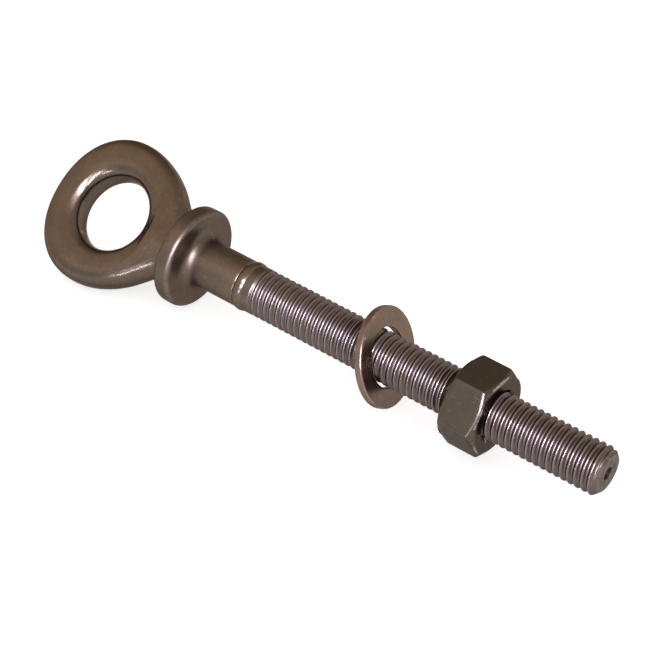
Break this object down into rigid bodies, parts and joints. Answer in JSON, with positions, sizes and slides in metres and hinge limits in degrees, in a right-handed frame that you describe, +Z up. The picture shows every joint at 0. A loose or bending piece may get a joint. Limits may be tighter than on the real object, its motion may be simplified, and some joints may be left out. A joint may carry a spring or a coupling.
{
  "type": "eye bolt",
  "caption": "Lifting eye bolt: round forged eye and collar on a long threaded shank, with a loose flat washer and a hexagon nut.",
  "frame": {"origin": "bottom centre of the bounding box, on the surface that the bolt lies on", "axes": "+X along the bolt's axis towards the threaded end, +Z up from the surface it lies on, bolt axis 10.5 mm above it"},
  "size_m": [0.1342, 0.0292, 0.021],
  "materials": {
    "head_steel": "tumbled dark steel, warm brown, satin",
    "weld_steel": "ground weld with a straw-brown heat tint",
    "thread_steel": "rolled thread, dark steel with bright crests",
    "washer_steel": "stamped steel with a bright rounded edge",
    "nut_steel": "dark satin steel with bright chamfer edges"
  },
  "bodies": {
    "bolt": {"eye_head": "head_steel", "weld_bead": "weld_steel", "threaded_stud": "thread_steel"},
    "washer": {"flat_washer": "washer_steel"},
    "nut": {"hex_nut": "nut_steel"}
  },
  "joints": [
    {"name": "washer_slide", "type": "slide", "parent": "bolt", "child": "washer", "axis": [1, 0, 0], "range_m": [-0.0417, 0.0065]},
    {"name": "nut_travel", "type": "slide", "parent": "bolt", "child": "nut", "axis": [1, 0, 0], "range_m": [-0.006, 0.036]}
  ]
}
